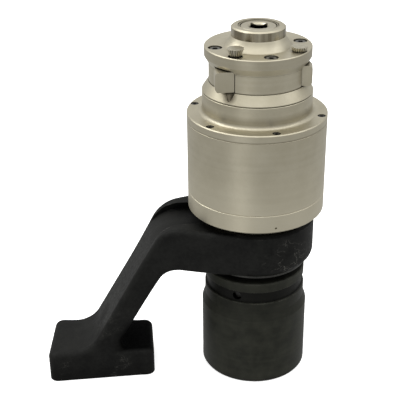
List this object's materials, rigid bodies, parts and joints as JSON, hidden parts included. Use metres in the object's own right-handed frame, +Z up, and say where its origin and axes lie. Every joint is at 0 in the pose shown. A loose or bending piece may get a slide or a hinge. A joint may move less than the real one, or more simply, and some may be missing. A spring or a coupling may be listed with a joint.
{
  "type": "planetary gearbox",
  "caption": "Hand torque multiplier: planetary gearbox with ratchet input head, black reaction arm with foot, and deep impact socket on the output square.",
  "frame": {"origin": "centre of the impact socket mouth, on the drive axis, level with the sole of the foot", "axes": "+Z up the drive axis towards the input square; the reaction arm runs out on the -X side, 8.2 degrees towards -Y"},
  "size_m": [0.2262, 0.108, 0.2923],
  "materials": {
    "plated_steel": "satin nickel plate",
    "plated_shaft": "satin nickel plate",
    "dark_ring": "black oxide",
    "black_oxide": "black oxide",
    "black_forged": "black coated forging",
    "black_socket": "phosphated black",
    "gear_steel": "ground",
    "bronze": "machined",
    "seal_rubber": "matte"
  },
  "bodies": {
    "case": {"ratchet_cover": "plated_steel", "pawl_drum": "plated_steel", "gear_case_cover": "plated_steel", "ring_gear_housing": "plated_steel", "end_ring": "plated_steel", "dust_ring": "plated_steel", "cover_screws": "black_oxide", "flange_screws": "black_oxide", "end_ring_screws": "black_oxide", "reaction_arm": "black_forged", "arm_retaining_ring": "dark_ring", "input_bearing": "gear_steel", "input_bush": "bronze", "output_bush": "bronze", "output_seal": "seal_rubber", "pawl_pins": "gear_steel", "pawl_springs": "gear_steel"},
    "output": {"output_carrier": "gear_steel", "planet_pins_2": "gear_steel", "impact_socket": "black_socket", "socket_pin": "black_oxide"},
    "carrier_1": {"carrier_1": "gear_steel", "planet_pins_1": "gear_steel"},
    "input": {"input_shaft": "plated_shaft", "ratchet_wheel": "gear_steel"},
    "pawl_1": {"pawl_1": "plated_steel"},
    "pawl_2": {"pawl_2": "plated_steel"},
    "knob_1": {"knob_1": "plated_steel"},
    "knob_2": {"knob_2": "plated_steel"},
    "planet_1a": {"planet_1a": "gear_steel"},
    "planet_1b": {"planet_1b": "gear_steel"},
    "planet_1c": {"planet_1c": "gear_steel"},
    "planet_2a": {"planet_2a": "gear_steel"},
    "planet_2b": {"planet_2b": "gear_steel"},
    "planet_2c": {"planet_2c": "gear_steel"}
  },
  "joints": [
    {"name": "output_spin", "type": "hinge", "parent": "case", "child": "output", "pos_m": [0, 0, 0], "axis": [0, 0, 1], "continuous": true},
    {"name": "carrier_1_spin", "type": "hinge", "parent": "case", "child": "carrier_1", "pos_m": [0, 0, 0], "axis": [0, 0, 1], "continuous": true},
    {"name": "input_spin", "type": "hinge", "parent": "case", "child": "input", "pos_m": [0, 0, 0], "axis": [0, 0, 1], "continuous": true},
    {"name": "planet_1a_spin", "type": "hinge", "parent": "carrier_1", "child": "planet_1a", "pos_m": [0.0273, 0, 0], "axis": [0, 0, 1], "continuous": true},
    {"name": "planet_1b_spin", "type": "hinge", "parent": "carrier_1", "child": "planet_1b", "pos_m": [-0.01365, 0.02364, 0], "axis": [0, 0, 1], "continuous": true},
    {"name": "planet_1c_spin", "type": "hinge", "parent": "carrier_1", "child": "planet_1c", "pos_m": [-0.01365, -0.02364, 0], "axis": [0, 0, 1], "continuous": true},
    {"name": "planet_2a_spin", "type": "hinge", "parent": "output", "child": "planet_2a", "pos_m": [0.0273, 0, 0], "axis": [0, 0, 1], "continuous": true},
    {"name": "planet_2b_spin", "type": "hinge", "parent": "output", "child": "planet_2b", "pos_m": [-0.01365, 0.02364, 0], "axis": [0, 0, 1], "continuous": true},
    {"name": "planet_2c_spin", "type": "hinge", "parent": "output", "child": "planet_2c", "pos_m": [-0.01365, -0.02364, 0], "axis": [0, 0, 1], "continuous": true},
    {"name": "pawl_1_swing", "type": "hinge", "parent": "case", "child": "pawl_1", "pos_m": [-0.02361, -0.02229, 0.259], "axis": [0, 0, 1], "range_deg": [0, 37.6]},
    {"name": "pawl_2_swing", "type": "hinge", "parent": "case", "child": "pawl_2", "pos_m": [0.032, -0.0055, 0.259], "axis": [0, 0, 1], "range_deg": [-10, 27.6]},
    {"name": "knob_1_press", "type": "slide", "parent": "case", "child": "knob_1", "axis": [0, 0, 1], "range_m": [-0.0025, 0]},
    {"name": "knob_2_lift", "type": "slide", "parent": "case", "child": "knob_2", "axis": [0, 0, 1], "range_m": [0, 0.0025]}
  ],
  "couplings": [
    {"joint": "carrier_1_spin", "follows": "output_spin", "ratio": 5.2},
    {"joint": "input_spin", "follows": "output_spin", "ratio": 27.04},
    {"joint": "planet_1a_spin", "follows": "output_spin", "ratio": -13.65},
    {"joint": "planet_1b_spin", "follows": "output_spin", "ratio": -13.65},
    {"joint": "planet_1c_spin", "follows": "output_spin", "ratio": -13.65},
    {"joint": "planet_2a_spin", "follows": "output_spin", "ratio": -2.625},
    {"joint": "planet_2b_spin", "follows": "output_spin", "ratio": -2.625},
    {"joint": "planet_2c_spin", "follows": "output_spin", "ratio": -2.625}
  ]
}
